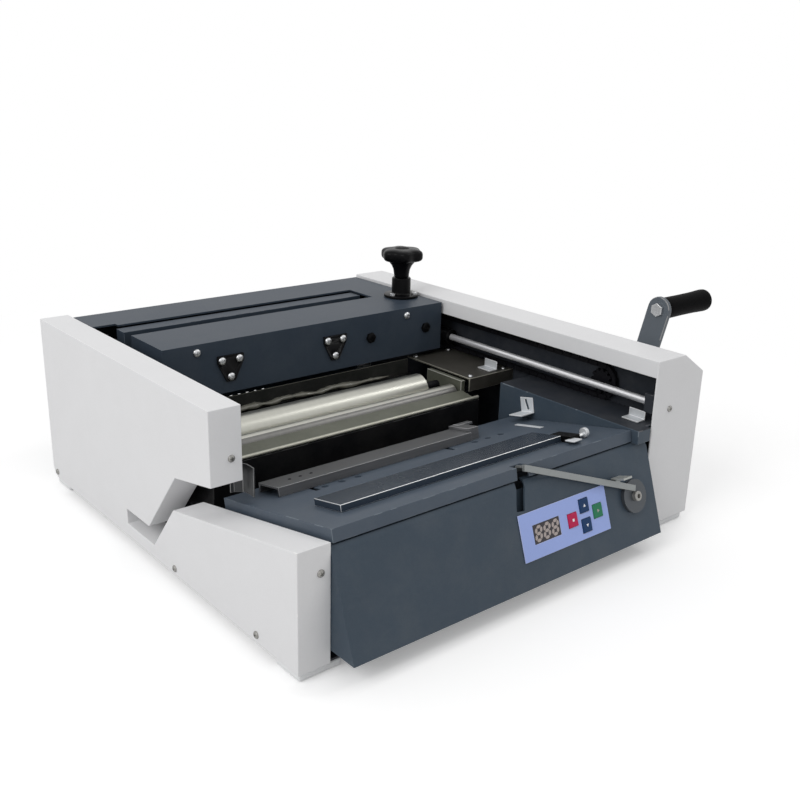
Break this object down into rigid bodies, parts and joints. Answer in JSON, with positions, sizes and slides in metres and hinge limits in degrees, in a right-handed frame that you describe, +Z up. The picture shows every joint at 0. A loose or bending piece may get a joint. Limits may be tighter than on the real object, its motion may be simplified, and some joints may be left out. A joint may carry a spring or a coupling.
{
  "type": "desktop hot-glue book binding machine",
  "caption": "Desktop perfect binder: crank-driven clamp carriage over a glue tank with rollers, sloping cover table with nip bars, lever and control panel.",
  "frame": {"origin": "centre of the bounding box's base, on the surface the feet stand on", "axes": "+X to the crank side, +Y to the back, +Z up; the control panel faces -Y"},
  "size_m": [0.6078, 0.533, 0.2532],
  "materials": {
    "base_frame": "fine powder coat",
    "left_housing": "fine powder coat",
    "right_housing": "fine powder coat",
    "front_panel": "fine powder coat",
    "table_plate": "fine powder coat",
    "fender": "fine powder coat",
    "rear_cover": "fine powder coat",
    "carriage_cover": "fine powder coat",
    "crank_arm": "fine powder coat",
    "left_side_plate": "fine powder coat",
    "right_side_plate": "fine powder coat",
    "gear_motor": "fine powder coat",
    "front_nip_bar": "fine powder coat",
    "left_guide_rod": "plain or zinc-plated steel",
    "right_guide_rod": "plain or zinc-plated steel",
    "front_rod_bracket": "plain or zinc-plated steel",
    "middle_rod_bracket": "plain or zinc-plated steel",
    "tank_heater": "plain or zinc-plated steel",
    "tank_sensor": "plain or zinc-plated steel",
    "scraper_plate": "plain or zinc-plated steel",
    "tank_end_cover": "plain or zinc-plated steel",
    "left_guard": "plain or zinc-plated steel",
    "drive_chain": "plain or zinc-plated steel",
    "carriage_frame": "plain or zinc-plated steel",
    "fixed_jaw": "plain or zinc-plated steel",
    "moving_jaw": "plain or zinc-plated steel",
    "left_jaw_plate": "plain or zinc-plated steel",
    "right_jaw_plate": "plain or zinc-plated steel",
    "knob_spindle": "plain or zinc-plated steel",
    "crank_sprocket": "plain or zinc-plated steel",
    "grip_bolt": "plain or zinc-plated steel",
    "idler_sprocket": "plain or zinc-plated steel",
    "main_roller": "plain or zinc-plated steel",
    "front_roller": "plain or zinc-plated steel",
    "nip_lever": "plain or zinc-plated steel",
    "lever_bolt": "plain or zinc-plated steel",
    "nip_adjuster": "plain or zinc-plated steel",
    "rear_nip_bar": "plain or zinc-plated steel",
    "side_stop": "plain or zinc-plated steel",
    "wear_strip": "plain or zinc-plated steel",
    "wiper_plate": "plain or zinc-plated steel",
    "glue_tank": "dark coated casting",
    "foot_front_left": "moulded foot",
    "foot_front_right": "moulded foot",
    "foot_rear_left": "moulded foot",
    "foot_rear_right": "moulded foot",
    "control_label": "matt",
    "button_board": "matt",
    "control_board": "matt",
    "crank_bush": "matt",
    "mains_inlet": "matt",
    "rod_sleeve": "matt",
    "display": "semi-gloss",
    "clamp_knob": "semi-gloss",
    "knob_post": "semi-gloss",
    "crank_grip": "semi-gloss",
    "stop_button": "semi-gloss",
    "up_button": "semi-gloss",
    "down_button": "semi-gloss",
    "start_button": "semi-gloss"
  },
  "bodies": {
    "frame": {"base_frame": "base_frame", "foot_front_left": "foot_front_left", "foot_front_right": "foot_front_right", "foot_rear_left": "foot_rear_left", "foot_rear_right": "foot_rear_right", "left_housing": "left_housing", "left_side_plate": "left_side_plate", "right_housing": "right_housing", "right_side_plate": "right_side_plate", "front_panel": "front_panel", "control_label": "control_label", "display": "display", "button_board": "button_board", "control_board": "control_board", "table_plate": "table_plate", "wear_strip": "wear_strip", "fender": "fender", "left_guide_rod": "left_guide_rod", "right_guide_rod": "right_guide_rod", "front_rod_bracket": "front_rod_bracket", "middle_rod_bracket": "middle_rod_bracket", "glue_tank": "glue_tank", "tank_heater": "tank_heater", "tank_sensor": "tank_sensor", "wiper_plate": "wiper_plate", "scraper_plate": "scraper_plate", "tank_end_cover": "tank_end_cover", "left_guard": "left_guard", "drive_chain": "drive_chain", "crank_bush": "crank_bush", "gear_motor": "gear_motor", "mains_inlet": "mains_inlet", "rear_cover": "rear_cover"},
    "carriage": {"carriage_cover": "carriage_cover", "carriage_frame": "carriage_frame", "fixed_jaw": "fixed_jaw", "rod_sleeve": "rod_sleeve", "left_jaw_plate": "left_jaw_plate", "right_jaw_plate": "right_jaw_plate", "knob_post": "knob_post"},
    "jaw": {"moving_jaw": "moving_jaw"},
    "knob": {"clamp_knob": "clamp_knob", "knob_spindle": "knob_spindle"},
    "crank": {"crank_sprocket": "crank_sprocket", "crank_arm": "crank_arm", "grip_bolt": "grip_bolt"},
    "grip": {"crank_grip": "crank_grip"},
    "idler": {"idler_sprocket": "idler_sprocket"},
    "main_glue_roller": {"main_roller": "main_roller"},
    "front_glue_roller": {"front_roller": "front_roller"},
    "lever": {"nip_lever": "nip_lever", "lever_bolt": "lever_bolt"},
    "front_nip": {"front_nip_bar": "front_nip_bar", "nip_adjuster": "nip_adjuster"},
    "rear_nip": {"rear_nip_bar": "rear_nip_bar"},
    "stop": {"side_stop": "side_stop"},
    "red_button": {"stop_button": "stop_button"},
    "blue_button_up": {"up_button": "up_button"},
    "blue_button_down": {"down_button": "down_button"},
    "green_button": {"start_button": "start_button"}
  },
  "joints": [
    {"name": "carriage_slide", "type": "slide", "parent": "frame", "child": "carriage", "axis": [0, -1, 0], "range_m": [0, 0.29]},
    {"name": "crank_turn", "type": "hinge", "parent": "frame", "child": "crank", "pos_m": [0.2136, -0.1499, 0.149], "axis": [1, 0, 0], "range_deg": [0, 949.6]},
    {"name": "idler_turn", "type": "hinge", "parent": "frame", "child": "idler", "pos_m": [0.1528, 0.2285, 0.149], "axis": [1, 0, 0], "range_deg": [0, 949.6]},
    {"name": "grip_spin", "type": "hinge", "parent": "crank", "child": "grip", "pos_m": [0.2239, -0.167, 0.22305], "axis": [1, 0, 0], "continuous": true},
    {"name": "jaw_slide", "type": "slide", "parent": "carriage", "child": "jaw", "axis": [0, 1, 0], "range_m": [-0.0215, 0.017]},
    {"name": "knob_turn", "type": "hinge", "parent": "carriage", "child": "knob", "pos_m": [0.1081, 0.1395, 0.1924], "axis": [0, 0, 1], "range_deg": [-123, 155]},
    {"name": "main_roller_turn", "type": "hinge", "parent": "frame", "child": "main_glue_roller", "pos_m": [-0.2584, 0.037, 0.1085], "axis": [1, 0, 0], "continuous": true},
    {"name": "front_roller_turn", "type": "hinge", "parent": "frame", "child": "front_glue_roller", "pos_m": [-0.2584, 0.0065, 0.106], "axis": [1, 0, 0], "continuous": true},
    {"name": "front_nip_slide", "type": "slide", "parent": "frame", "child": "front_nip", "axis": [0, 0.9786, -0.2056], "range_m": [0, 0.024]},
    {"name": "lever_swing", "type": "hinge", "parent": "frame", "child": "lever", "pos_m": [0.0906, -0.25105, 0.06602], "axis": [0, -0.9458, 0.3247], "range_deg": [0, 13.1]},
    {"name": "rear_nip_slide", "type": "slide", "parent": "frame", "child": "rear_nip", "axis": [0, 0.9786, -0.2056], "range_m": [-0.026, 0]},
    {"name": "side_stop_slide", "type": "slide", "parent": "frame", "child": "stop", "axis": [1, 0, 0], "range_m": [-0.034, 0]},
    {"name": "stop_button_press", "type": "slide", "parent": "frame", "child": "red_button", "axis": [0, 0.9458, -0.3247], "range_m": [0, 0.0012], "stiffness_N_per_m": 250},
    {"name": "up_button_press", "type": "slide", "parent": "frame", "child": "blue_button_up", "axis": [0, 0.9458, -0.3247], "range_m": [0, 0.0012], "stiffness_N_per_m": 250},
    {"name": "down_button_press", "type": "slide", "parent": "frame", "child": "blue_button_down", "axis": [0, 0.9458, -0.3247], "range_m": [0, 0.0012], "stiffness_N_per_m": 250},
    {"name": "start_button_press", "type": "slide", "parent": "frame", "child": "green_button", "axis": [0, 0.9458, -0.3247], "range_m": [0, 0.0012], "stiffness_N_per_m": 250}
  ],
  "couplings": [
    {"joint": "crank_turn", "follows": "carriage_slide", "rad_per_m": 57.143},
    {"joint": "idler_turn", "follows": "carriage_slide", "rad_per_m": 57.143},
    {"joint": "knob_turn", "follows": "jaw_slide", "rad_per_m": -125},
    {"joint": "front_roller_turn", "follows": "main_roller_turn", "ratio": -1},
    {"joint": "lever_swing", "follows": "front_nip_slide", "rad_per_m": 9.4539}
  ]
}
